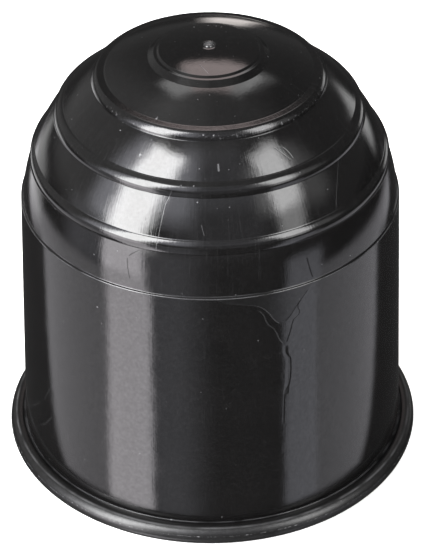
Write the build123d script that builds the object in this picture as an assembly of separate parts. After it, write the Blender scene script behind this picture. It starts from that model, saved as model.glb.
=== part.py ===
from build123d import *
import math
import os

# Tow ball cover: one moulded plastic cap, open below, that pushes over a tow ball.
# Millimetres. Z runs up the cap's axis from the flat face that it rests on.

# Bore
ball_diameter = 50.0  # the ball that the cap goes over
ball_clearance = 0.2  # gap between ball and bore, all round
seat_length = 12.0  # straight stretch of bore that sits round the ball
bore_draft = 1.9  # degrees, the bore widens from the seat to the mouth
mouth_chamfer = 0.6  # lead-in at the mouth

# Dome and crown
wall = 1.7  # thickness of the dome and of the crown
dome_centre_height = 39.1  # the dome's centre above the resting face
crown_radius = 34.0  # the top of the dome is flatter than the dome
crown_drop = 1.0  # how far the crown lies under the full hemisphere

# Rings raised on the dome
ring_count = 3
ring_first_angle = 21.05  # degrees above the dome's centre, lowest ring
ring_pitch = 16.85  # degrees from one ring to the next
ring_section_radius = 1.7
ring_first_height = 0.3  # how far the lowest ring stands out of the dome
ring_last_height = 0.46  # the same for the top ring
ring_flat_slope = 6.0  # degrees, the top ring's upper side is flat and falls outward
ring_flat_depth = 0.14  # what the flat takes off the top ring's half-round
ring_edge_round = 0.5  # between that flat and the ring's face

# Skirt, with a fine sloping shoulder between it and the dome
skirt_step = 0.15  # the skirt's top edge stands out past the dome
skirt_rise = 2.45  # the skirt ends this far above the dome's centre
skirt_draft = 1.4  # degrees, the skirt widens towards the rim
skirt_edge_round = 0.15  # rounded top edge of the skirt
shoulder_slope = 28.0  # degrees, the shoulder falls outward

# Rolled rim
bead_radius = 1.5
bead_overhang = 2.2  # how far the rim reaches past the foot of the skirt

# Low boss on the crown, the button on it and the nib that the moulding gate left
boss_radius = 8.5  # at its foot
boss_rise = 0.41  # above the crown
boss_slope = 37.5  # degrees, its side falls outward
boss_edge_round = 0.3
button_radius = 7.25  # at its foot
button_rise = 0.15  # above the boss
button_slope = 37.0  # degrees, its side falls outward
button_edge_round = 0.15
gate_radius = 0.7
gate_height = 0.25

bore_radius = ball_diameter / 2 + ball_clearance
seat_foot = dome_centre_height - seat_length
bore_slope = math.tan(math.radians(bore_draft))
dome_radius = bore_radius + wall
crown_centre = dome_centre_height + dome_radius - crown_drop - crown_radius
boss_face_radius = crown_radius + boss_rise
button_face_radius = boss_face_radius + button_rise
button_top = crown_centre + button_face_radius
skirt_top = dome_centre_height + skirt_rise
skirt_top_radius = dome_radius + skirt_step
skirt_foot_radius = skirt_top_radius + skirt_top * math.tan(math.radians(skirt_draft))
bead_centre_radius = skirt_foot_radius + bead_overhang - bead_radius
rim_radius = bead_centre_radius + bead_radius


# The section is drawn with the distance from the axis across and the height up.
def disc(radius, across, up):
    return Pos(across, up) * Circle(radius)


def polygon(*points):
    return make_face(Polyline(*points, close=True))


def block(across, low, high):
    return polygon((0, low), (across, low), (across, high), (0, high))


def corner(sketch, across, up):
    place = Vector(across, up, 0)
    return min(sketch.vertices(), key=lambda vertex: (Vector(vertex) - place).length)


# One ring: half-round, the top one with a flat upper side
def ring_section(index):
    share = index / max(ring_count - 1, 1)
    height = ring_first_height + (ring_last_height - ring_first_height) * share
    angle = math.radians(ring_first_angle + index * ring_pitch)
    reach = dome_radius + height - ring_section_radius
    place = Pos(reach * math.cos(angle), dome_centre_height + reach * math.sin(angle))
    ring = place * Circle(ring_section_radius)
    if index == ring_count - 1:
        turned = place * Rot(0, 0, -ring_flat_slope)
        width = 2 * ring_section_radius
        ring &= turned * Pos(0, -ring_flat_depth) * Rectangle(width, width)
        rise = ring_section_radius - ring_flat_depth
        edge = turned * Pos(math.sqrt(ring_section_radius**2 - rise**2), rise)
        ring = fillet(corner(ring, edge.position.X, edge.position.Y), ring_edge_round)
    return ring


# Dome with its flatter crown and the rings
def dome_section():
    dome = disc(dome_radius, 0, dome_centre_height) & disc(crown_radius, 0, crown_centre)
    for index in range(ring_count):
        dome += ring_section(index)
    return dome


# Tapered skirt, its top edge rounded under the shoulder, which runs into the dome
def skirt_section():
    shoulder_depth = wall / 2
    shoulder_top = skirt_top + shoulder_depth * math.tan(math.radians(shoulder_slope))
    skirt = polygon(
        (0, 0),
        (skirt_foot_radius, 0),
        (skirt_top_radius, skirt_top),
        (skirt_top_radius - shoulder_depth, shoulder_top),
        (0, shoulder_top),
    )
    return fillet(corner(skirt, skirt_top_radius, skirt_top), skirt_edge_round)


# Rolled rim with the flat face that the cap rests on
def rim_section():
    return disc(bead_radius, bead_centre_radius, bead_radius) + block(bead_centre_radius, 0, bead_radius)


# Low round step on the crown: its top parallel to the crown, its side sloping, its edge rounded
def step_section(foot_radius, base_radius, face_radius, slope, edge_round):
    side = math.tan(math.radians(slope))
    foot_height = crown_centre + math.sqrt(base_radius**2 - foot_radius**2)
    cone = polygon(
        (0, dome_centre_height),
        (foot_radius, dome_centre_height),
        (foot_radius, foot_height),
        (0, foot_height + foot_radius * side),
    )
    rise = face_radius - base_radius
    step = cone & disc(face_radius, 0, crown_centre)
    return fillet(corner(step, foot_radius - rise / side, foot_height + rise), edge_round)


# Boss, button and gate nib
def button_section():
    boss = step_section(boss_radius, crown_radius, boss_face_radius, boss_slope, boss_edge_round)
    button = step_section(
        button_radius, boss_face_radius, button_face_radius, button_slope, button_edge_round
    )
    return boss + button + block(gate_radius, dome_centre_height, button_top + gate_height)


# Hollow: chamfered mouth, drafted bore, straight seat and the dome's inside
def hollow_section():
    bore = polygon(
        (0, 0),
        (bore_radius + seat_foot * bore_slope + mouth_chamfer, 0),
        (bore_radius + (seat_foot - mouth_chamfer) * bore_slope, mouth_chamfer),
        (bore_radius, seat_foot),
        (bore_radius, dome_centre_height),
        (0, dome_centre_height),
    )
    inside = disc(bore_radius, 0, dome_centre_height) & disc(crown_radius - wall, 0, crown_centre)
    return bore + inside


def cover_shell():
    outside = dome_section() + skirt_section() + rim_section() + button_section()
    shell = outside - hollow_section()
    half = shell & block(rim_radius, 0, button_top + gate_height)
    return revolve(Plane.XZ * half, axis=Axis.Z)


os.makedirs("parts", exist_ok=True)
export_step(cover_shell(), "parts/cover_shell.step")
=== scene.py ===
import math

import bpy
import numpy as np
from mathutils import Matrix, Vector


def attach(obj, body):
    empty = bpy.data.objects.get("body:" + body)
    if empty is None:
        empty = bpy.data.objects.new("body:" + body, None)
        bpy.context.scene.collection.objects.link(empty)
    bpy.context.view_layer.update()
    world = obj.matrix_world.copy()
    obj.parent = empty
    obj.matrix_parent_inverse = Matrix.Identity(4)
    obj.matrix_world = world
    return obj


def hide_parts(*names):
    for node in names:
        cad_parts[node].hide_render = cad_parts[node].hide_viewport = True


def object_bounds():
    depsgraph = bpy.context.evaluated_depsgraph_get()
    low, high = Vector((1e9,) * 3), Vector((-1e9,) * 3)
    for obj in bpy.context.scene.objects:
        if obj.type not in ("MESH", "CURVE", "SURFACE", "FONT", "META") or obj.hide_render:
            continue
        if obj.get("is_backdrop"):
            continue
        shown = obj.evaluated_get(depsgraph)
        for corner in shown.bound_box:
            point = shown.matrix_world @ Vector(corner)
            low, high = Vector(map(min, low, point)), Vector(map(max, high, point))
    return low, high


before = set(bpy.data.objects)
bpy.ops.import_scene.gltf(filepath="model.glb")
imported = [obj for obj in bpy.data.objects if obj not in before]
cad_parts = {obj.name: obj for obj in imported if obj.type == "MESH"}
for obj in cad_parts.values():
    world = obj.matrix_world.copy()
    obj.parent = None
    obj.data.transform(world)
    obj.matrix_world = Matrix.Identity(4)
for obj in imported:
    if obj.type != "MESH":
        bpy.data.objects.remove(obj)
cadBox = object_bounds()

print("frame loaded:", sorted(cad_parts))


def linearColour(hexText):  # sRGB hex to linear RGBA
    channels = [int(hexText[i:i + 2], 16) / 255 for i in (1, 3, 5)]
    return [c / 12.92 if c <= 0.04045 else ((c + 0.055) / 1.055) ** 2.4 for c in channels] + [1.0]


def addNode(tree, kind, inputs=None, **settings):  # inputs takes plain values and other nodes' output sockets
    node = tree.nodes.new(kind)
    for name, value in settings.items():
        setattr(node, name, value)
    for name, value in (inputs or {}).items():
        if isinstance(value, bpy.types.NodeSocket):
            tree.links.new(value, node.inputs[name])
        else:
            node.inputs[name].default_value = value
    return node


# Cap: sizes in millimetres, as the solid has them
capSizes = dict(
    boreRadius=25.2, seatFoot=27.1, boreDraft=1.9, mouthChamfer=0.6,
    domeRadius=26.9, domeHeight=39.1, wall=1.7,
    crownRadius=34.0, crownDrop=1.0,
    ringAngles=(54.75, 37.9, 21.05), ringRises=(0.46, 0.38, 0.3), ringRadius=1.7,  # from the top down
    ringFlat=6.0, ringTrim=0.14, ringEdge=0.5,  # the top ring's flat upper side: slope, depth and edge
    skirtStep=0.15, skirtRise=2.45, skirtDraft=1.4, skirtEdge=0.15, shoulderSlope=28.0,
    beadRadius=1.5, beadOverhang=2.2,
    boss=dict(foot=8.5, rise=0.41, slope=37.5, edge=0.3),
    button=dict(foot=7.25, rise=0.15, slope=37.0, edge=0.15),
    nibRadius=0.7, nibRise=0.25, nibClear=1.7,  # the button's top starts this many nib radii out
    crease=0.045, stepEase=0.02, roundEase=0.01,  # corners are eased as a mould's are, small rounds by less
    turns=320,  # steps round the axis
    # waves of the wall: how many go round, length down the section, rise, and phase in radians
    waves=[dict(round=7, down=62.0, rise=0.006, start=0.6), dict(round=13, down=41.0, rise=0.003, start=2.1),
           dict(round=19, down=27.0, rise=0.0015, start=4.0)],
    waveSway=0.7, waveSwayLength=9.0,  # they wander sideways down the wall
    waveNibFade=12.0, waveRimFade=6.0, waveEnd=2.0,  # they fade in from the nib and out above this height
)


# Where two circles cross, left (+1) or right (-1) of the line from A to B
def circlesMeet(centreA, radiusA, centreB, radiusB, side):
    gap = centreB - centreA
    reach = np.hypot(*gap)
    along = (radiusA ** 2 - radiusB ** 2 + reach ** 2) / (2 * reach)
    across = math.sqrt(radiusA ** 2 - along ** 2)
    unit = gap / reach
    return centreA + unit * along + side * across * np.array([-unit[1], unit[0]])


# Where a line crosses a circle, the later (+1) or earlier (-1) time
def lineMeets(start, way, centre, radius, side):
    along = (centre - start) @ way
    apart = np.hypot(*(start + way * along - centre))
    return start + way * (along + side * math.sqrt(radius ** 2 - apart ** 2))


# Places along a stretch, short of both ends by ease, with a close pair at each end
def spread(length, count, ease):
    inner = np.linspace(ease, length - ease, count)
    return np.concatenate([inner[:1], [2.5 * ease], inner[1:-1], [length - 2.5 * ease], inner[-1:]])


# Points along a line, eased by an eighth of it at most
def lineStretch(start, end, count, ease):
    length = np.hypot(*(np.array(end) - start))
    t = spread(length, count, min(ease, length / 8))[:, None] / length
    return np.array(start) * (1 - t) + np.array(end) * t


# Points along a circle between two of its points, the short way, eased alike
def arcStretch(centre, radius, start, end, count, ease):
    first, last = (math.atan2(*(np.array(p) - centre)[::-1]) for p in (start, end))
    last = first + (last - first + math.pi) % (2 * math.pi) - math.pi
    length = radius * abs(last - first)
    angle = first + (last - first) * spread(length, count, min(ease, length / 8)) / length
    return np.stack([centre[0] + radius * np.cos(angle), centre[1] + radius * np.sin(angle)], -1)


# The section runs from the button's top down the outside, round the rim and up the inside
# The whole number in each stretch is its count of points
def capSection(s):
    point = lambda r, z: np.array([r, z], float)
    facing = lambda degrees: point(math.cos(math.radians(degrees)), math.sin(math.radians(degrees)))
    falling = lambda degrees: point(math.cos(math.radians(degrees)), -math.sin(math.radians(degrees)))
    ease = s["crease"]
    domeCentre = point(0, s["domeHeight"])
    crownCentre = point(0, s["domeHeight"] + s["domeRadius"] - s["crownDrop"] - s["crownRadius"])
    onCrown = lambda r, radius: point(r, crownCentre[1] + math.sqrt(radius ** 2 - r ** 2))
    bossFace = s["crownRadius"] + s["boss"]["rise"]
    buttonFace = bossFace + s["button"]["rise"]
    topHeight = crownCentre[1] + buttonFace
    stretches = []
    # gate nib in its shallow ring, as shares of its radius and its rise
    nib = np.array([(0, 1), (0.3, 1), (0.55, 0.96), (0.75, 0.82), (0.9, 0.55), (0.97, 0.2),
                    (1.06, -0.1), (1.18, -0.12), (1.28, 0.1), (1.36, 0.16), (1.45, 0.1), (1.55, 0)])
    stretches.append(nib * (s["nibRadius"], s["nibRise"]) + (0, topHeight))
    # button, then the low boss under it: top parallel to the crown, rounded edge, sloping side
    place = onCrown(s["nibClear"] * s["nibRadius"], buttonFace)
    for step, base, face, count in ((s["button"], bossFace, buttonFace, 10),
                                    (s["boss"], s["crownRadius"], bossFace, 3)):
        foot = onCrown(step["foot"], base)
        sideWay = falling(step["slope"])
        sideOut = point(-sideWay[1], sideWay[0])
        edgeCentre = lineMeets(foot - sideOut * step["edge"], sideWay, crownCentre, face - step["edge"], -1)
        toEdge = edgeCentre - crownCentre
        edgeTop = edgeCentre + toEdge / np.hypot(*toEdge) * step["edge"]
        edgeSide = edgeCentre + sideOut * step["edge"]
        stretches.append(arcStretch(crownCentre, face, place, edgeTop, count, ease))
        stretches.append(arcStretch(edgeCentre, step["edge"], edgeTop, edgeSide, 4, s["stepEase"]))
        stretches.append(lineStretch(edgeSide, foot, 4, ease))
        place = foot
    # crown, then ring and band by turns
    radius = s["ringRadius"]
    for index, degrees in enumerate(s["ringAngles"]):
        reach = s["domeRadius"] + s["ringRises"][index] - radius
        ringCentre = domeCentre + reach * facing(degrees)
        lower = circlesMeet(domeCentre, s["domeRadius"], ringCentre, radius, -1)
        if index == 0:  # flat upper side, with a small round before the ring's face
            flatWay = falling(s["ringFlat"])
            flatOut = point(-flatWay[1], flatWay[0])
            onFlat = ringCentre + flatOut * (radius - s["ringTrim"])
            upper = lineMeets(onFlat, flatWay, domeCentre, s["domeRadius"], 1)
            crownEnd = circlesMeet(crownCentre, s["crownRadius"], domeCentre, s["domeRadius"], -1)
            roundCentre = lineMeets(onFlat - flatOut * s["ringEdge"], flatWay, ringCentre,
                                    radius - s["ringEdge"], 1)
            roundTop = roundCentre + flatOut * s["ringEdge"]
            toRound = roundCentre - ringCentre
            face = roundCentre + toRound / np.hypot(*toRound) * s["ringEdge"]
            stretches.append(arcStretch(crownCentre, s["crownRadius"], place, crownEnd, 10, ease))
            stretches.append(arcStretch(domeCentre, s["domeRadius"], crownEnd, upper, 3, ease))
            stretches.append(lineStretch(upper, roundTop, 4, ease))
            stretches.append(arcStretch(roundCentre, s["ringEdge"], roundTop, face, 5, s["roundEase"]))
            stretches.append(arcStretch(ringCentre, radius, face, lower, 12, ease))
        else:
            upper = circlesMeet(domeCentre, s["domeRadius"], ringCentre, radius, 1)
            stretches.append(arcStretch(domeCentre, s["domeRadius"], place, upper, 10, ease))
            stretches.append(arcStretch(ringCentre, radius, upper, lower, 16, ease))
        place = lower
    # last band, then the sloping shoulder and the skirt's rounded top edge
    skirtTop = s["domeHeight"] + s["skirtRise"]
    skirtR = s["domeRadius"] + s["skirtStep"]
    skirtWay = falling(90 - s["skirtDraft"])
    skirtOut = point(-skirtWay[1], skirtWay[0])
    shoulderWay = falling(s["shoulderSlope"])
    shoulderOut = point(-shoulderWay[1], shoulderWay[0])
    edge = point(skirtR, skirtTop)
    shoulder = lineMeets(edge, shoulderWay, domeCentre, s["domeRadius"], 1)
    cut = s["skirtEdge"] * math.tan(math.acos(skirtOut @ shoulderOut) / 2)
    edgeStart, edgeEnd = edge - shoulderWay * cut, edge + skirtWay * cut
    stretches.append(arcStretch(domeCentre, s["domeRadius"], place, shoulder, 10, ease))
    stretches.append(lineStretch(shoulder, edgeStart, 3, ease))
    edgeCentre = edgeStart - shoulderOut * s["skirtEdge"]
    stretches.append(arcStretch(edgeCentre, s["skirtEdge"], edgeStart, edgeEnd, 5, s["roundEase"]))
    # drafted skirt down to the crease with the rolled rim
    footR = skirtR + skirtTop * math.tan(math.radians(s["skirtDraft"]))
    beadR = footR + s["beadOverhang"] - s["beadRadius"]
    beadCentre = point(beadR, s["beadRadius"])
    crease = lineMeets(edge, skirtWay, beadCentre, s["beadRadius"], -1)
    stretches.append(lineStretch(edgeEnd, crease, 30, ease))
    beadNose = point(beadR + s["beadRadius"], s["beadRadius"])
    beadFoot = point(beadR, 0)
    stretches.append(arcStretch(beadCentre, s["beadRadius"], crease, beadNose, 20, ease))
    stretches.append(arcStretch(beadCentre, s["beadRadius"], beadNose, beadFoot, 12, s["roundEase"]))
    # resting face, chamfered mouth, drafted bore, seat and the inside of the dome and crown
    boreSlope = math.tan(math.radians(s["boreDraft"]))
    mouthR = s["boreRadius"] + s["seatFoot"] * boreSlope
    lead = s["mouthChamfer"]
    stops = [beadFoot, point(mouthR + lead, 0), point(mouthR - lead * boreSlope, lead),
             point(s["boreRadius"], s["seatFoot"]), point(s["boreRadius"], s["domeHeight"])]
    for start, end, count in zip(stops[:-1], stops[1:], (3, 3, 8, 4)):
        stretches.append(lineStretch(start, end, count, ease))
    innerCrown = s["crownRadius"] - s["wall"]
    innerEdge = circlesMeet(crownCentre, innerCrown, domeCentre, s["boreRadius"], 1)
    innerEdge = point(abs(innerEdge[0]), innerEdge[1])
    stretches.append(arcStretch(domeCentre, s["boreRadius"], stops[-1], innerEdge, 16, ease))
    innerTop = onCrown(0, innerCrown)
    stretches.append(arcStretch(crownCentre, innerCrown, innerEdge, innerTop, 8, ease)[:-2])
    stretches.append(innerTop[None])
    return np.concatenate(stretches)


# The section carried round the axis: first and last points are poles, every other point is a ring
# (radius times sine of the turn, minus radius times cosine of the turn, height)
# Outside, each point moves along the section's normal by a sum of sine waves, as a hand-polished mould gives
def turnSection(name, section, s):
    rings, turns = section[1:-1], s["turns"]
    angle = np.linspace(-math.pi, math.pi, turns, endpoint=False)
    travel = np.concatenate([[0], np.cumsum(np.hypot(*np.diff(section, axis=0).T))])
    down = travel[1:-1, None]
    outer = down[np.argmax(rings[:, 1] < s["waveEnd"])]  # on the rolled rim
    fade = np.clip(down / s["waveNibFade"], 0, 1) * np.clip((outer - down) / s["waveRimFade"], 0, 1)
    sway = s["waveSway"] * np.sin(down / s["waveSwayLength"])
    wave = fade * sum(w["rise"] * np.sin(w["round"] * angle + w["start"] + sway)
                      * np.sin(2 * math.pi * down / w["down"] + 2 * w["start"]) for w in s["waves"])
    slope = np.gradient(section, axis=0)[1:-1]
    slope /= np.hypot(*slope.T)[:, None]
    ringR, ringZ = rings[:, :1] - slope[:, 1:] * wave, rings[:, 1:] + slope[:, :1] * wave
    grid = np.stack([ringR * np.sin(angle), -ringR * np.cos(angle), ringZ], -1).reshape(-1, 3)
    points = np.concatenate([[[0, 0, section[0, 1]]], grid, [[0, 0, section[-1, 1]]]]) / 1000
    index = 1 + np.arange(len(rings) * turns).reshape(len(rings), turns)
    after = np.roll(index, -1, 1)
    quads = np.stack([index[:-1], index[1:], after[1:], after[:-1]], -1).reshape(-1, 4)
    topFan = np.stack([np.zeros(turns, int), index[0], after[0]], -1)
    endFan = np.stack([np.full(turns, len(points) - 1), after[-1], index[-1]], -1)
    travel = travel / travel[-1]
    column = np.arange(turns + 1) / turns
    u, v = np.meshgrid(column, travel[1:-1])
    corner = lambda r, c: np.stack([u[r, c], v[r, c]], -1)
    row, step = np.meshgrid(np.arange(len(rings) - 1), np.arange(turns), indexing="ij")
    quadUv = np.stack([corner(row, step), corner(row + 1, step),
                       corner(row + 1, step + 1), corner(row, step + 1)], 2)
    step = np.arange(turns)
    middle = (column[:-1] + column[1:]) / 2
    first = 0 * step
    topUv = np.stack([np.stack([middle, 0 * middle], -1), corner(first, step), corner(first, step + 1)], 1)
    last = len(rings) - 1 + 0 * step
    endUv = np.stack([np.stack([middle, 0 * middle + 1], -1), corner(last, step + 1), corner(last, step)], 1)
    mesh = bpy.data.meshes.new(name)
    corners = np.concatenate([quads.ravel(), topFan.ravel(), endFan.ravel()])
    sides = np.concatenate([np.full(len(quads), 4), np.full(2 * turns, 3)])
    mesh.vertices.add(len(points))
    mesh.vertices.foreach_set("co", points.astype(np.float32).ravel())
    mesh.loops.add(len(corners))
    mesh.loops.foreach_set("vertex_index", corners.astype(np.int32))
    mesh.polygons.add(len(sides))
    mesh.polygons.foreach_set("loop_start", np.concatenate([[0], np.cumsum(sides)[:-1]]).astype(np.int32))
    mesh.update(calc_edges=True)
    mesh.polygons.foreach_set("use_smooth", np.ones(len(sides), bool))
    uvs = np.concatenate([quadUv.reshape(-1, 2), topUv.reshape(-1, 2), endUv.reshape(-1, 2)])
    mesh.uv_layers.new(name="capUv").data.foreach_set("uv", uvs.astype(np.float32).ravel())
    mesh.validate()
    piece = bpy.data.objects.new(name, mesh)
    bpy.context.scene.collection.objects.link(piece)
    return piece


section = capSection(capSizes)
cap = turnSection("moulded_cap", section, capSizes)
print("cap turned:", len(section), "section points,", 2 * len(section) * capSizes["turns"], "triangles")


# Marks in the surface, each a path of (degrees round from the camera's side, height in mm)
# width is half of what is seen, rise is below zero for a groove, all in mm
# pale is how whitened it is, dull how far the gloss is gone
surfaceMarks = [
    # weld line on the skirt, where two flow fronts met: a Y with two fine lines to each arm
    dict(path=[(4.0, 40.8), (11.0, 40.2), (14.0, 39.7), (16.5, 38.6), (18.5, 37.1), (20.5, 36.1)],
         width=0.17, rise=0.003, pale=0.042),
    dict(path=[(13.0, 39.3), (15.0, 38.4), (16.5, 36.6), (18.5, 35.5), (20.0, 33.7), (21.5, 32.5)],
         width=0.16, rise=0.003, pale=0.034),
    dict(path=[(29.5, 40.7), (27.0, 39.3), (25.2, 38.3), (23.5, 37.2), (21.5, 36.3)],
         width=0.18, rise=-0.006, dull=0.8),
    dict(path=[(27.5, 39.3), (26.0, 38.4), (26.5, 37.3), (24.5, 36.3), (23.5, 34.6), (22.0, 32.6)],
         width=0.16, rise=-0.005, dull=0.9),
    # its wavy stem: a shallow trough and a fine line along its right side
    dict(path=[(22.0, 32.6), (22.0, 31.4), (22.9, 29.6), (22.9, 27.7), (22.5, 25.7), (21.9, 23.6)],
         width=0.5, rise=-0.014),
    dict(path=[(22.0, 32.6), (22.0, 31.4), (23.5, 29.6), (23.5, 27.7), (23.0, 25.7), (21.6, 24.0),
               (21.2, 18.5)],
         width=0.2, rise=-0.005, dull=0.6),
    # scratches on the dome, on its last band and on the button
    dict(path=[(-13.5, 55.8), (-14.5, 54.7), (-15.5, 53.8), (-16.0, 52.5), (-17.0, 47.6)],
         width=0.07, rise=-0.003, pale=0.07),
    dict(path=[(-3.0, 51.7), (-2.0, 50.3)], width=0.1, rise=-0.004, pale=0.08),
    dict(path=[(55.0, 55.2), (48.0, 52.4), (44.0, 49.7)], width=0.1, rise=-0.004, pale=0.05),
    dict(path=[(30.0, 45.5), (30.5, 44.0), (31.5, 42.0)], width=0.16, rise=-0.008, dull=0.9),
    dict(path=[(-26.0, 46.2), (-25.5, 44.7), (-24.5, 43.0)], width=0.13, rise=-0.006, dull=0.6),
    dict(path=[(-22.0, 47.5), (-24.0, 47.0), (-25.5, 46.4)], width=0.2, rise=-0.006, dull=0.6),
    dict(path=[(32.5, 58.7), (34.0, 58.1), (35.0, 57.3)], width=0.1, rise=-0.004, pale=0.1),
    dict(path=[(29.0, 58.9), (32.0, 57.9), (34.0, 57.2)], width=0.09, rise=-0.004, pale=0.06),
    dict(path=[(3.4, 58.3), (3.5, 57.5)], width=0.2, rise=0.004, pale=0.2),
    dict(path=[(-16.5, 65.24), (-7.0, 65.1), (0.0, 64.92)], width=0.1, rise=-0.004, pale=0.12),
    # faint scuffs low on the skirt's left and a nick on its right
    dict(path=[(-79.5, 6.6), (-69.0, 10.4), (-64.5, 12.7)], width=0.35, rise=-0.001, pale=0.016),
    dict(path=[(-62.0, 13.6), (-59.0, 15.9), (-54.5, 19.0)], width=0.3, rise=-0.001, pale=0.016),
    dict(path=[(-65.0, 8.1), (-60.5, 9.9), (-56.5, 12.5)], width=0.3, rise=-0.001, pale=0.018),
    dict(path=[(45.8, 22.3), (47.0, 23.0)], width=0.15, rise=-0.006, dull=0.8),
]
# Hazy patch between the weld line's arms, under the shoulder: the paths of its left and right edges
weldHaze = dict(left=[(1.0, 41.6), (4.0, 40.8), (11.0, 40.2), (14.0, 39.7), (16.5, 38.6), (18.5, 37.1),
                      (20.5, 36.1)],
                right=[(31.5, 41.6), (29.5, 40.7), (27.0, 39.3), (25.2, 38.3), (23.5, 37.2), (21.5, 36.1)],
                soft=0.3, footEnd=0.1, topStart=0.98, roughness=0.22)
# Specks that stand out, as (across, depth, height) in mm, with a radius
surfaceSpecks = [
    dict(place=(-2.02, 5.69, 65.03), radius=0.18), dict(place=(-0.05, 6.06, 65.02), radius=0.14),
    dict(place=(1.09, 5.86, 65.04), radius=0.16), dict(place=(-7.19, -12.71, 61.69), radius=0.22),
    dict(place=(-7.03, -12.5, 61.75), radius=0.14), dict(place=(-0.84, -16.09, 61.14), radius=0.18),
    dict(place=(0.56, -16.15, 61.09), radius=0.18), dict(place=(-9.45, -16.37, 58.23), radius=0.26),
    dict(place=(-1.74, -22.15, 54.26), radius=0.16), dict(place=(-2.21, -21.06, 56.19), radius=0.14),
    dict(place=(-6.08, -27.45, 2.85), radius=0.26), dict(place=(-12.17, -12.38, 59.65), radius=0.16),
    dict(place=(8.25, -26.05, 38.9), radius=0.2), dict(place=(9.2, -25.75, 38.1), radius=0.18),
    dict(place=(-15.77, -22.11, 36.92), radius=0.2, pale=0.25),
    dict(place=(-15.22, -22.57, 34.41), radius=0.16, pale=0.12),
    dict(place=(-1.18, -27.1, 38.36), radius=0.18, pale=0.1),
    dict(place=(1.92, -27.44, 23.03), radius=0.18, pale=0.07),
    dict(place=(1.22, -27.95, 3.74), radius=0.2, pale=0.12),
    dict(place=(0.1, 0.1, 65.8), radius=1.1, pale=0.2),  # the last is the torn nib
]
# Lines all the way round at a height, broken by noise: more of the line is missing where gaps is higher
roundLines = [
    dict(height=60.85, width=0.4, pale=0.22, gaps=0.64, fine=True),  # chips on the top ring
    dict(height=60.36, width=0.1, dull=0.6, gaps=0.3),  # painted shade, with a little dirt, in the lower foot of each ring
    dict(height=54.74, width=0.12, dull=0.7, gaps=0.3),
    dict(height=47.83, width=0.14, dull=0.8, gaps=0.2),
    dict(height=41.53, width=0.08, pale=0.13, gaps=0.35),  # scuffed edges of the shoulder
    dict(height=41.78, width=0.07, pale=0.1, gaps=0.4),
    dict(height=2.86, width=0.1, pale=0.12, gaps=0.35),  # dust in the crease above the rim
    dict(height=1.94, width=0.11, pale=0.3, gaps=0.55, fine=True),  # parting line
    dict(height=2.98, width=0.1, dull=0.4, gaps=0.1),  # painted shade in the crease on the rim's top
    dict(height=1.25, width=0.85, pale=0.014, gaps=0.2),  # painted reflection on the rim's lower face
]
plasticLook = dict(
    colour="#070707", cloudColour="#0d0c0c", paleColour="#a0a0a2",
    roughness=(0.07, 0.13), rimRoughness=0.35, insideRoughness=0.34, paleRoughness=0.6,
    rimRadius=28.3, rimSoft=0.3,  # the rim's roughness starts this far out
    cloudSize=7.0, cloudRange=(0.3, 0.7), grainSize=0.4, grainRise=0.004, rippleSize=3.2, rippleRise=0.02,
    domeFrom=(40.0, 48.0),  # between these heights hairRise, hairWorn and mottleShine go from skirt to dome
    hairWidth=0.18, hairLength=6.0, hairRise=(0.004, 0.007),
    hairDeep=(0.58, 0.75), hairPale=0.02, hairWorn=(0.25, 1.0),  # the deepest hairs are whitened
    hairClear=(9.0, 15.0),  # there are none nearer the axis, where they would crowd
    shine=0.5, dullShine=0.03,
    mottleSize=0.5, mottleShine=(0.3, 0.1), mottleDeep=(0.5, 0.75), mottlePale=0.004,
    dustCell=0.8, dustRadius=0.16, dustLeast=0.3, dustPower=3.0,  # the power keeps most small
    dustPale=0.25, dustHeights=(30.0, 60.0), dustShare=(0.06, 0.35), speckPale=0.34,
    gapEdges=(-0.05, 0.25), markEnds=0.08,  # how softly a line breaks off and a mark ends
    marks=surfaceMarks, specks=surfaceSpecks, lines=roundLines, haze=weldHaze,
)


# A path as a curve over the height
# Gives how far along it a height is, from 0 to 1, and how many millimetres right of it a place is
def pathApart(tree, height, turn, radius, path):
    path = sorted(path, key=lambda stop: stop[1])
    low, high = path[0][1], path[-1][1]
    least, most = min(stop[0] for stop in path), max(stop[0] for stop in path)
    along = addNode(tree, "ShaderNodeMapRange", {0: height, 1: low, 2: high}, clamp=False).outputs[0]
    curve = addNode(tree, "ShaderNodeFloatCurve", {"Value": along})
    stops = curve.mapping.curves[0].points
    for number, (degrees, stopHeight) in enumerate(path):
        spot = ((stopHeight - low) / (high - low), (degrees - least) / (most - least))
        if number < 2:
            stops[number].location = spot
        else:
            stops.new(*spot)
    curve.mapping.update()
    pathTurn = addNode(tree, "ShaderNodeMath",
                       {0: curve.outputs[0], 1: math.radians(most - least), 2: math.radians(least)},
                       operation="MULTIPLY_ADD").outputs[0]
    apart = addNode(tree, "ShaderNodeMath", {0: turn, 1: pathTurn}, operation="SUBTRACT").outputs[0]
    return along, addNode(tree, "ShaderNodeMath", {0: apart, 1: radius}, operation="MULTIPLY").outputs[0]
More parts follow.
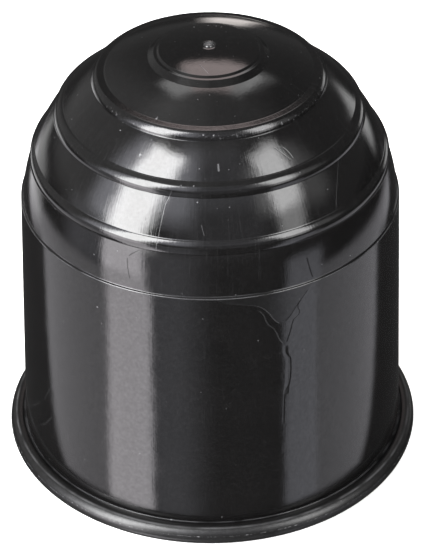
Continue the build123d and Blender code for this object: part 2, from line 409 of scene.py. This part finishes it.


# Black polyethylene, injection moulded in a polished steel mould: nearly black, with a soft satin gloss.
# Fine grain and upright polishing hairs break the edges of its highlights, and the gloss is finely mottled.
# A weld line, scratches, scuffs and dust lie over it, and shade in its corners and a reflection on its rim
# are painted in.
def mouldedPolyethylene(look, section):
    material = bpy.data.materials.new("black polyethylene, injection moulded")
    material.use_nodes = True
    tree = material.node_tree
    shader = tree.nodes["Principled BSDF"]
    metres = addNode(tree, "ShaderNodeTexCoord").outputs["Object"]
    # the place in millimetres, and round the axis
    place = addNode(tree, "ShaderNodeVectorMath", {0: metres, "Scale": 1000.0}, operation="SCALE").outputs[0]
    axes = addNode(tree, "ShaderNodeSeparateXYZ", {0: place}).outputs
    x, height = axes["X"], axes["Z"]
    front = addNode(tree, "ShaderNodeMath", {0: axes["Y"], 1: -1.0}, operation="MULTIPLY").outputs[0]
    turn = addNode(tree, "ShaderNodeMath", {0: x, 1: front}, operation="ARCTAN2").outputs[0]
    flat = addNode(tree, "ShaderNodeCombineXYZ", {"X": x, "Y": front}).outputs[0]
    radius = addNode(tree, "ShaderNodeVectorMath", {0: flat}, operation="LENGTH").outputs["Value"]
    # what is outside comes first in the section's travel, which the second UV coordinate counts
    # it ends where the section first comes down to the resting face
    travel = np.concatenate([[0], np.cumsum(np.hypot(*np.diff(section, axis=0).T))])
    outerShare = float(travel[np.argmax(section[:, 1] < 0.01)] / travel[-1])
    uv = addNode(tree, "ShaderNodeUVMap", uv_map="capUv").outputs[0]
    share = addNode(tree, "ShaderNodeSeparateXYZ", {0: uv}).outputs["Y"]
    outside = addNode(tree, "ShaderNodeMath", {0: share, 1: outerShare}, operation="LESS_THAN").outputs[0]

    # what differs between the skirt and the dome
    skirtEnd, domeStart = look["domeFrom"]
    hairRise, hairWorn, mottleShine = (
        addNode(tree, "ShaderNodeMapRange",
                {0: height, 1: skirtEnd, 2: domeStart, 3: look[name][0], 4: look[name][1]}).outputs[0]
        for name in ("hairRise", "hairWorn", "mottleShine"))
    # clouds, grain, ripple and mottling in the solid's own millimetres
    cloud = addNode(tree, "ShaderNodeTexNoise",
                    {"Vector": place, "Scale": 1 / look["cloudSize"], "Detail": 4.0,
                     "Roughness": 0.6}).outputs[0]
    grain = addNode(tree, "ShaderNodeTexNoise",
                    {"Vector": place, "Scale": 1 / look["grainSize"], "Detail": 1.0}).outputs[0]
    ripple = addNode(tree, "ShaderNodeTexNoise",
                     {"Vector": place, "Scale": 1 / look["rippleSize"], "Detail": 1.0}).outputs[0]
    mottle = addNode(tree, "ShaderNodeTexNoise",
                     {"Vector": place, "Scale": 1 / look["mottleSize"], "Detail": 2.0,
                      "Roughness": 0.6}).outputs[0]
    # upright hairs: noise on a cylinder of the dome's radius, drawn out in height
    # real ones are finer, these are drawn as coarse as a pixel shows
    aroundWay = addNode(tree, "ShaderNodeVectorMath", {0: flat}, operation="NORMALIZE").outputs[0]
    around = addNode(tree, "ShaderNodeVectorMath",
                     {0: aroundWay, "Scale": capSizes["domeRadius"] / look["hairWidth"]},
                     operation="SCALE").outputs[0]
    upright = addNode(tree, "ShaderNodeMath", {0: height, 1: 1 / look["hairLength"]},
                      operation="MULTIPLY").outputs[0]
    upward = addNode(tree, "ShaderNodeCombineXYZ", {"Z": upright}).outputs[0]
    hairPlace = addNode(tree, "ShaderNodeVectorMath", {0: around, 1: upward}, operation="ADD").outputs[0]
    hair = addNode(tree, "ShaderNodeTexNoise",
                   {"Vector": hairPlace, "Scale": 1.0, "Detail": 3.0, "Roughness": 0.65}).outputs[0]
    clearIn, clearOut = look["hairClear"]
    hairFade = addNode(tree, "ShaderNodeMapRange", {0: radius, 1: clearIn, 2: clearOut}).outputs[0]
    hairs = addNode(tree, "ShaderNodeMath", {0: hair, 1: hairRise}, operation="MULTIPLY").outputs[0]
    relief = addNode(tree, "ShaderNodeMath", {0: hairs, 1: hairFade}, operation="MULTIPLY").outputs[0]
    deepFrom, deepTo = look["hairDeep"]
    wornHair = addNode(tree, "ShaderNodeMapRange",
                       {0: hair, 1: deepFrom, 2: deepTo, 3: 0.0, 4: look["hairPale"]}).outputs[0]
    wornHair = addNode(tree, "ShaderNodeMath", {0: wornHair, 1: hairWorn}, operation="MULTIPLY").outputs[0]
    wornHair = addNode(tree, "ShaderNodeMath", {0: wornHair, 1: hairFade}, operation="MULTIPLY").outputs[0]
    relief = addNode(tree, "ShaderNodeMath", {0: grain, 1: look["grainRise"], 2: relief},
                     operation="MULTIPLY_ADD").outputs[0]
    relief = addNode(tree, "ShaderNodeMath", {0: ripple, 1: look["rippleRise"], 2: relief},
                     operation="MULTIPLY_ADD").outputs[0]

    # dust: one speck to a cell at most, of a random size, more of it on what faces up
    dustCell = addNode(tree, "ShaderNodeTexVoronoi", {"Vector": place, "Scale": 1 / look["dustCell"]})
    chance = addNode(tree, "ShaderNodeSeparateColor", {0: dustCell.outputs["Color"]}).outputs
    dustLow, dustHigh = look["dustHeights"]
    few, many = look["dustShare"]
    dustShare = addNode(tree, "ShaderNodeMapRange",
                        {0: height, 1: dustLow, 2: dustHigh, 3: few, 4: many}).outputs[0]
    kept = addNode(tree, "ShaderNodeMath", {0: chance[0], 1: dustShare}, operation="LESS_THAN").outputs[0]
    most = look["dustRadius"] / look["dustCell"]
    reach = addNode(tree, "ShaderNodeMath", {0: chance[1], 1: look["dustPower"]},
                    operation="POWER").outputs[0]
    reach = addNode(tree, "ShaderNodeMapRange", {0: reach, 3: look["dustLeast"] * most, 4: most}).outputs[0]
    speck = addNode(tree, "ShaderNodeMapRange",
                    {0: dustCell.outputs["Distance"], 1: 0.0, 2: reach, 3: look["dustPale"], 4: 0.0},
                    interpolation_type="SMOOTHSTEP").outputs[0]
    pale = addNode(tree, "ShaderNodeMath", {0: speck, 1: kept, 2: wornHair},
                   operation="MULTIPLY_ADD").outputs[0]
    # a breath of haze from handling
    deepFrom, deepTo = look["mottleDeep"]
    smear = addNode(tree, "ShaderNodeMapRange",
                    {0: mottle, 1: deepFrom, 2: deepTo, 3: 0.0, 4: look["mottlePale"]}).outputs[0]
    pale = addNode(tree, "ShaderNodeMath", {0: pale, 1: smear}, operation="ADD").outputs[0]
    for spot in look["specks"]:
        apart = addNode(tree, "ShaderNodeVectorMath", {0: place, 1: spot["place"]},
                        operation="DISTANCE").outputs["Value"]
        spotPale = spot.get("pale", look["speckPale"])
        spotMask = addNode(tree, "ShaderNodeMapRange",
                           {0: apart, 1: 0.0, 2: spot["radius"], 3: spotPale, 4: 0.0},
                           interpolation_type="SMOOTHSTEP").outputs[0]
        pale = addNode(tree, "ShaderNodeMath", {0: pale, 1: spotMask}, operation="MAXIMUM").outputs[0]

    # lines round the cap, whitened or dulled, among them painted shade in corners and a painted reflection on
    # the rim
    dull = 0.0
    for line in look["lines"]:
        offset = addNode(tree, "ShaderNodeMath", {0: height, 1: line["height"]},
                         operation="SUBTRACT").outputs[0]
        offset = addNode(tree, "ShaderNodeMath", {0: offset}, operation="ABSOLUTE").outputs[0]
        mask = addNode(tree, "ShaderNodeMapRange", {0: offset, 1: 0.0, 2: line["width"], 3: 1.0, 4: 0.0},
                       interpolation_type="SMOOTHSTEP").outputs[0]
        breaker = grain if line.get("fine") else ripple
        gapFrom, gapTo = (line["gaps"] + edge for edge in look["gapEdges"])
        broken = addNode(tree, "ShaderNodeMapRange", {0: breaker, 1: gapFrom, 2: gapTo}).outputs[0]
        mask = addNode(tree, "ShaderNodeMath", {0: mask, 1: broken}, operation="MULTIPLY").outputs[0]
        if "pale" in line:
            pale = addNode(tree, "ShaderNodeMath", {0: mask, 1: line["pale"], 2: pale},
                           operation="MULTIPLY_ADD").outputs[0]
        else:
            dull = addNode(tree, "ShaderNodeMath", {0: mask, 1: line["dull"], 2: dull},
                           operation="MULTIPLY_ADD").outputs[0]

    # each mark: as strong as its path is near, round the cap, with a fade at both ends
    for mark in look["marks"]:
        along, apart = pathApart(tree, height, turn, radius, mark["path"])
        apart = addNode(tree, "ShaderNodeMath", {0: apart}, operation="ABSOLUTE").outputs[0]
        mask = addNode(tree, "ShaderNodeMapRange", {0: apart, 1: 0.0, 2: mark["width"], 3: 1.0, 4: 0.0},
                       interpolation_type="SMOOTHSTEP").outputs[0]
        square = addNode(tree, "ShaderNodeMath", {0: along, 1: along}, operation="MULTIPLY").outputs[0]
        within = addNode(tree, "ShaderNodeMath", {0: along, 1: square}, operation="SUBTRACT").outputs[0]
        ends = addNode(tree, "ShaderNodeMapRange", {0: within, 1: 0.0, 2: look["markEnds"]},
                       interpolation_type="SMOOTHSTEP").outputs[0]
        mask = addNode(tree, "ShaderNodeMath", {0: mask, 1: ends}, operation="MULTIPLY").outputs[0]
        relief = addNode(tree, "ShaderNodeMath", {0: mask, 1: mark["rise"], 2: relief},
                         operation="MULTIPLY_ADD").outputs[0]
        if "pale" in mark:
            pale = addNode(tree, "ShaderNodeMath", {0: mask, 1: mark["pale"], 2: pale},
                           operation="MULTIPLY_ADD").outputs[0]
        if "dull" in mark:
            dull = addNode(tree, "ShaderNodeMath", {0: mask, 1: mark["dull"], 2: dull},
                           operation="MULTIPLY_ADD").outputs[0]

    # hazy patch: right of its left edge and left of its right edge, within their heights
    patch = look["haze"]
    hazeParts = []
    for edge, soft in (("left", patch["soft"]), ("right", -patch["soft"])):
        along, apart = pathApart(tree, height, turn, radius, patch[edge])
        hazeParts.append(addNode(tree, "ShaderNodeMapRange", {0: apart, 1: -soft, 2: soft},
                                 interpolation_type="SMOOTHSTEP"))
    hazeParts.append(addNode(tree, "ShaderNodeMapRange", {0: along, 1: 0.0, 2: patch["footEnd"]}))
    hazeParts.append(addNode(tree, "ShaderNodeMapRange", {0: along, 1: 1.0, 2: patch["topStart"]}))
    haze = patch["roughness"]
    for part in hazeParts:
        haze = addNode(tree, "ShaderNodeMath", {0: part.outputs[0], 1: haze}, operation="MULTIPLY").outputs[0]

    pale = addNode(tree, "ShaderNodeMath", {0: pale, 1: outside}, operation="MULTIPLY",
                   use_clamp=True).outputs[0]
    dull = addNode(tree, "ShaderNodeMath", {0: dull, 1: outside}, operation="MULTIPLY",
                   use_clamp=True).outputs[0]
    # colour: a faint cloud in the black, whitened where it is scratched, scuffed or dusty, with a painted
    # reflection on the rim's lower face
    body = addNode(tree, "ShaderNodeMix",
                   {0: cloud, 6: linearColour(look["colour"]), 7: linearColour(look["cloudColour"])},
                   data_type="RGBA").outputs[2]
    colour = addNode(tree, "ShaderNodeMix", {0: pale, 6: body, 7: linearColour(look["paleColour"])},
                     data_type="RGBA").outputs[2]
    # gloss: cloudy outside, softer on the rim and inside, rough where it is pale
    cloudFrom, cloudTo = look["cloudRange"]
    smooth, rough = look["roughness"]
    gloss = addNode(tree, "ShaderNodeMapRange",
                    {0: cloud, 1: cloudFrom, 2: cloudTo, 3: smooth, 4: rough}).outputs[0]
    gloss = addNode(tree, "ShaderNodeMath", {0: gloss, 1: haze}, operation="ADD").outputs[0]
    rim = addNode(tree, "ShaderNodeMapRange",
                  {0: radius, 1: look["rimRadius"], 2: look["rimRadius"] + look["rimSoft"]}).outputs[0]
    gloss = addNode(tree, "ShaderNodeMix", {0: rim, 2: gloss, 3: look["rimRoughness"]}).outputs[0]
    gloss = addNode(tree, "ShaderNodeMix", {0: outside, 2: look["insideRoughness"], 3: gloss}).outputs[0]
    gloss = addNode(tree, "ShaderNodeMix", {0: pale, 2: gloss, 3: look["paleRoughness"]}).outputs[0]
    # its strength is finely mottled about the noise's middle, and low where a groove or dirt has dulled it
    # and where shade is painted
    uneven = addNode(tree, "ShaderNodeMath", {0: mottle, 1: 0.5}, operation="SUBTRACT").outputs[0]
    shine = addNode(tree, "ShaderNodeMath", {0: uneven, 1: mottleShine, 2: look["shine"]},
                    operation="MULTIPLY_ADD").outputs[0]
    shine = addNode(tree, "ShaderNodeMapRange",
                    {0: dull, 1: 0.0, 2: 1.0, 3: shine, 4: look["dullShine"]}).outputs[0]
    # the relief counts millimetres
    bump = addNode(tree, "ShaderNodeBump", {"Height": relief, "Distance": 0.001}).outputs[0]
    for name, socket in (("Base Color", colour), ("Roughness", gloss), ("Specular IOR Level", shine),
                         ("Normal", bump)):
        tree.links.new(socket, shader.inputs[name])
    return material


cap.data.materials.append(mouldedPolyethylene(plasticLook, section))
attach(cap, "root")
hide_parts("cover_shell")
print("material made")


# Studio: soft boxes in a dim room, by azimuth from the camera's side (right positive) and elevation, degrees
# soft is half the fade at the side edges and at the upper and lower ones, behind counts from the far side
# lean is how far each side edge moves over per degree of elevation, tint is a slight cast of the light
cool, warm = (0.97, 0.98, 1.08), (1.2, 1.0, 0.98)
studioLights = [
    dict(side=(-65, -42), rise=(4, 58), soft=(4, 3), power=20.0, lean=(0, 0.22)),  # large soft box, left
    dict(side=(-80, -60), rise=(6, 56), soft=(7, 4), power=3.0, tint=cool),  # its outer edge glow
    dict(side=(-40, -14), rise=(20, 62), soft=(10, 9), power=2.6, tint=cool),  # its glow on the near wall
    dict(side=(-60, -33), rise=(-1, 7), soft=(4, 3), power=3.5),  # its foot, at the table's edge
    dict(side=(43, 57), rise=(4, 55), soft=(2, 3), power=3.6, lean=(0, 0.3)),  # smaller soft box, right
    dict(side=(43, 57), rise=(19, 55), soft=(2, 4), power=6.0, lean=(0, 0.3)),  # its brighter upper part
    dict(side=(33, 46), rise=(22, 50), soft=(5, 6), power=1.6),  # its glow on the near wall
    dict(side=(66, 84), rise=(12, 46), soft=(8, 6), power=0.8),  # its outer edge glow
    # left box mirrored in the table
    dict(side=(-65, -40), rise=(-70, 1), soft=(2.6, 2), power=4.6, lean=(0, -0.1), tint=(1.02, 0.98, 1.02)),
    # the near part of that mirror image
    dict(side=(-65, -40), rise=(-17, 1), soft=(2, 4), power=2.2, lean=(0, -0.1), tint=(1.02, 0.98, 1.02)),
    # the left box's glow on the table
    dict(side=(-42, -9), rise=(-70, 1), soft=(14, 3), power=0.6, tint=cool),
    # right box mirrored in the table
    dict(side=(44.3, 66), rise=(-60, -9), soft=(2, 3), power=1.25, tint=cool),
    # table, left
    dict(side=(-193, -65), rise=(-42, -19), soft=(3, 3), power=1.05, lean=(-2.0, 0), tint=(1.0, 0.98, 1.03)),
    dict(side=(-92, -62), rise=(-18, 5), soft=(8, 4), power=0.6, tint=cool),  # far part of the table, left
    dict(side=(-148, -122), rise=(-24, -9), soft=(5, 3), power=1.0),  # far corner of the table, left
    # table, right
    dict(side=(66, 174), rise=(-42, -20), soft=(3, 3), power=0.88, lean=(0, 1.5), tint=(0.99, 0.98, 1.04)),
    dict(side=(131, 146), rise=(-10, 5), soft=(2.5, 3), power=1.6),  # far corner of the table, right
    dict(side=(-12, 16), rise=(44.6, 62.5), soft=(3, 3), power=2.95, behind=True, tint=warm),  # back light
    dict(side=(-27, -12), rise=(50, 62.5), soft=(3, 3), power=2.7, behind=True),  # its left wing
    dict(side=(16, 26), rise=(46, 62.5), soft=(3, 3), power=2.4, behind=True),  # its right wing
    dict(side=(22, 29), rise=(42, 57), soft=(5, 3), power=1.1, behind=True),  # that wing's outer edge
    # bright strip at the table's back edge
    dict(side=(-0.3, 6), rise=(-9, 3), soft=(1.5, 2), power=2.0, behind=True, tint=(1.08, 1.0, 0.96)),
    dict(side=(-150, -60), rise=(0, 70), soft=(14, 8), power=0.3),  # left wall
    dict(side=(-22, 36), rise=(30, 66), soft=(10, 7), power=0.4, tint=cool),  # wall on the camera's side
    dict(side=(-20, 36), rise=(2, 40), soft=(10, 6), power=0.22, tint=cool),  # its lower part
    dict(side=(-175, -10), rise=(58, 100), soft=(20, 8), power=0.27),  # ceiling, lit from the left
    dict(side=(-220, 220), rise=(60, 110), soft=(1, 8), power=0.22),  # ceiling
    dict(side=(-220, 220), rise=(-2, 110), soft=(1, 4), power=0.08),  # room above the table
    dict(side=(-30, 40), rise=(-80, 0), soft=(12, 4), power=0.06),  # table on the camera's side
]
studioLook = dict(roomGlow=0.04, backdropColour="#f6f6f5")


def studioWorld(lights, look):
    world = bpy.data.worlds.new("studio")
    bpy.context.scene.world = world
    world.use_nodes = True
    tree = world.node_tree
    tree.nodes.clear()
    way = addNode(tree, "ShaderNodeTexCoord").outputs["Generated"]
    axes = addNode(tree, "ShaderNodeSeparateXYZ", {0: way}).outputs
    front = addNode(tree, "ShaderNodeMath", {0: axes["Y"], 1: -1.0}, operation="MULTIPLY").outputs[0]
    azimuth = addNode(tree, "ShaderNodeMath", {0: axes["X"], 1: front}, operation="ARCTAN2").outputs[0]
    azimuthBack = addNode(tree, "ShaderNodeMath", {0: axes["X"], 1: axes["Y"]},
                          operation="ARCTAN2").outputs[0]
    rise = addNode(tree, "ShaderNodeMath", {0: axes["Z"]}, operation="ARCSINE").outputs[0]
    total = [look["roomGlow"]] * 3
    for light in lights:
        mask = None
        sideways = azimuthBack if light.get("behind") else azimuth
        lean = light.get("lean", (0, 0))
        edges = [(sideways, light["side"][i], light["soft"][0], lean[i], float(i)) for i in (0, 1)]
        edges += [(rise, light["rise"][i], light["soft"][1], 0, float(i)) for i in (0, 1)]
        for source, edge, soft, tilt, falling in edges:
            if tilt:
                source = addNode(tree, "ShaderNodeMath", {0: rise, 1: -tilt, 2: source},
                                 operation="MULTIPLY_ADD").outputs[0]
            low, high = math.radians(edge - soft), math.radians(edge + soft)
            step = addNode(tree, "ShaderNodeMapRange",
                           {0: source, 1: low, 2: high, 3: falling, 4: 1.0 - falling},
                           interpolation_type="SMOOTHSTEP").outputs[0]
            if mask is not None:
                step = addNode(tree, "ShaderNodeMath", {0: mask, 1: step}, operation="MULTIPLY").outputs[0]
            mask = step
        colour = [light["power"] * part for part in light.get("tint", (1, 1, 1))]
        total = addNode(tree, "ShaderNodeVectorMath", {0: mask, 1: colour, 2: total},
                        operation="MULTIPLY_ADD").outputs[0]
    room = addNode(tree, "ShaderNodeBackground", {"Color": total})
    backdrop = addNode(tree, "ShaderNodeBackground", {"Color": linearColour(look["backdropColour"])})
    seen = addNode(tree, "ShaderNodeLightPath").outputs["Is Camera Ray"]
    mixed = addNode(tree, "ShaderNodeMixShader", {0: seen, 1: room.outputs[0], 2: backdrop.outputs[0]})
    addNode(tree, "ShaderNodeOutputWorld", {"Surface": mixed.outputs[0]})


studioWorld(studioLights, studioLook)
print("studio lit:", len(studioLights), "soft lights")


def flatSquare(name, half, height):  # metres
    mesh = bpy.data.meshes.new(name)
    corners = [(-half, -half, height), (half, -half, height), (half, half, height), (-half, half, height)]
    mesh.from_pydata(corners, [], [(0, 1, 2, 3)])
    square = bpy.data.objects.new(name, mesh)
    bpy.context.scene.collection.objects.link(square)
    return square


# Floor: a pale lit table, not seen in the cap's gloss, which has the table's glow from the studio
floorLook = dict(half=3.0, height=-0.00002, colour="#f4f4f3", roughness=0.9, glow=0.62)
floor = flatSquare("floor", floorLook["half"], floorLook["height"])
floorPaper = bpy.data.materials.new("pale lit table")
floorPaper.use_nodes = True
floorShader = floorPaper.node_tree.nodes["Principled BSDF"]
floorShader.inputs["Base Color"].default_value = linearColour(floorLook["colour"])
floorShader.inputs["Roughness"].default_value = floorLook["roughness"]
floorShader.inputs["Emission Color"].default_value = linearColour(floorLook["colour"])
floorShader.inputs["Emission Strength"].default_value = floorLook["glow"]
floor.data.materials.append(floorPaper)
floor.visible_glossy = False
floor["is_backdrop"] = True

# Shade on the table, seen in the cap's gloss alone: a ring of contact shade and the cap's two shadows
# ring, reach, start and fade are in mm, soft is an edge's growth per mm and its least, ways are directions
shadeLook = dict(half=0.13, height=-0.00001, ring=(30.5, 33.9), ringSoft=1.6, reach=30.2, soft=(0.035, 0.6),
                 ways=((-0.82, 0.574), (0.817, 0.577)), start=5.0, fade=(70.0, 110.0), glow=0.04)
shade = flatSquare("table_shade", shadeLook["half"], shadeLook["height"])
shadePaint = bpy.data.materials.new("shade on the table")
shadePaint.use_nodes = True
tree = shadePaint.node_tree
tree.nodes.clear()
metres = addNode(tree, "ShaderNodeTexCoord").outputs["Object"]
place = addNode(tree, "ShaderNodeVectorMath", {0: metres, "Scale": 1000.0}, operation="SCALE").outputs[0]
reach = addNode(tree, "ShaderNodeVectorMath", {0: place}, operation="LENGTH").outputs["Value"]
shadeIn, shadeOut = shadeLook["ring"]
inner = addNode(tree, "ShaderNodeMapRange", {0: reach, 1: shadeIn, 2: shadeIn + shadeLook["ringSoft"]},
                interpolation_type="SMOOTHSTEP").outputs[0]
outer = addNode(tree, "ShaderNodeMapRange", {0: reach, 1: shadeOut, 2: shadeOut - shadeLook["ringSoft"]},
                interpolation_type="SMOOTHSTEP").outputs[0]
dark = addNode(tree, "ShaderNodeMath", {0: inner, 1: outer}, operation="MULTIPLY").outputs[0]
# a strip as wide as the cap along each shadow's way, its edge softer further out
for way in shadeLook["ways"]:
    along = addNode(tree, "ShaderNodeVectorMath", {0: place, 1: (way[0], way[1], 0)},
                    operation="DOT_PRODUCT").outputs["Value"]
    across = addNode(tree, "ShaderNodeVectorMath", {0: place, 1: (-way[1], way[0], 0)},
                     operation="DOT_PRODUCT").outputs["Value"]
    across = addNode(tree, "ShaderNodeMath", {0: across}, operation="ABSOLUTE").outputs[0]
    spill = addNode(tree, "ShaderNodeMath", {0: along, 1: shadeLook["soft"][0], 2: shadeLook["soft"][1]},
                    operation="MULTIPLY_ADD").outputs[0]
    start = addNode(tree, "ShaderNodeMath", {0: shadeLook["reach"], 1: spill}, operation="ADD").outputs[0]
    end = addNode(tree, "ShaderNodeMath", {0: shadeLook["reach"], 1: spill}, operation="SUBTRACT").outputs[0]
    strip = addNode(tree, "ShaderNodeMapRange", {0: across, 1: start, 2: end},
                    interpolation_type="SMOOTHSTEP").outputs[0]
    begin = addNode(tree, "ShaderNodeMath", {0: along, 1: shadeLook["start"]},
                    operation="GREATER_THAN").outputs[0]
    fade = addNode(tree, "ShaderNodeMapRange", {0: along, 1: shadeLook["fade"][1], 2: shadeLook["fade"][0]},
                   interpolation_type="SMOOTHSTEP").outputs[0]
    strip = addNode(tree, "ShaderNodeMath", {0: strip, 1: begin}, operation="MULTIPLY").outputs[0]
    strip = addNode(tree, "ShaderNodeMath", {0: strip, 1: fade}, operation="MULTIPLY").outputs[0]
    dark = addNode(tree, "ShaderNodeMath", {0: dark, 1: strip}, operation="MAXIMUM").outputs[0]
clear = addNode(tree, "ShaderNodeBsdfTransparent")
dim = addNode(tree, "ShaderNodeEmission", {"Color": (shadeLook["glow"],) * 3 + (1.0,)})
mixed = addNode(tree, "ShaderNodeMixShader", {0: dark, 1: clear.outputs[0], 2: dim.outputs[0]})
addNode(tree, "ShaderNodeOutputMaterial", {"Surface": mixed.outputs[0]})
shade.data.materials.append(shadePaint)
shade.visible_camera = shade.visible_diffuse = shade.visible_shadow = shade.visible_transmission = False
shade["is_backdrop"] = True

# Camera: 450 mm off, 35.7 degrees up, turned a little about its axis as the photo is
cameraLook = dict(elevation=35.709, distance=0.45, target=(0.0, 0.0, 0.02601), roll=-0.5959,
                  focalPixels=3080.35, longSide=553, shiftPixels=2.0, sensor=36.0)
tilt, roll = math.radians(cameraLook["elevation"]), math.radians(cameraLook["roll"])
backward = Vector((0, -math.cos(tilt), math.sin(tilt)))
right, up = Vector((1, 0, 0)), Vector((0, math.sin(tilt), math.cos(tilt)))
axisX = right * math.cos(roll) + up * math.sin(roll)
axisY = up * math.cos(roll) - right * math.sin(roll)
cameraData = bpy.data.cameras.new("camera")
cameraData.sensor_width = cameraLook["sensor"]
cameraData.lens = cameraLook["focalPixels"] * cameraData.sensor_width / cameraLook["longSide"]
cameraData.shift_x = cameraLook["shiftPixels"] / cameraLook["longSide"]
camera = bpy.data.objects.new("camera", cameraData)
bpy.context.scene.collection.objects.link(camera)
turn = Matrix((axisX, axisY, backward)).transposed().to_4x4()
spot = Vector(cameraLook["target"]) + backward * cameraLook["distance"]
camera.matrix_world = Matrix.Translation(spot) @ turn
bpy.context.scene.camera = camera
bpy.context.scene.view_settings.view_transform = "Standard"
print("floor and camera placed")

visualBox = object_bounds()
{"cad": [list(corner) for corner in cadBox], "visual": [list(corner) for corner in visualBox]}
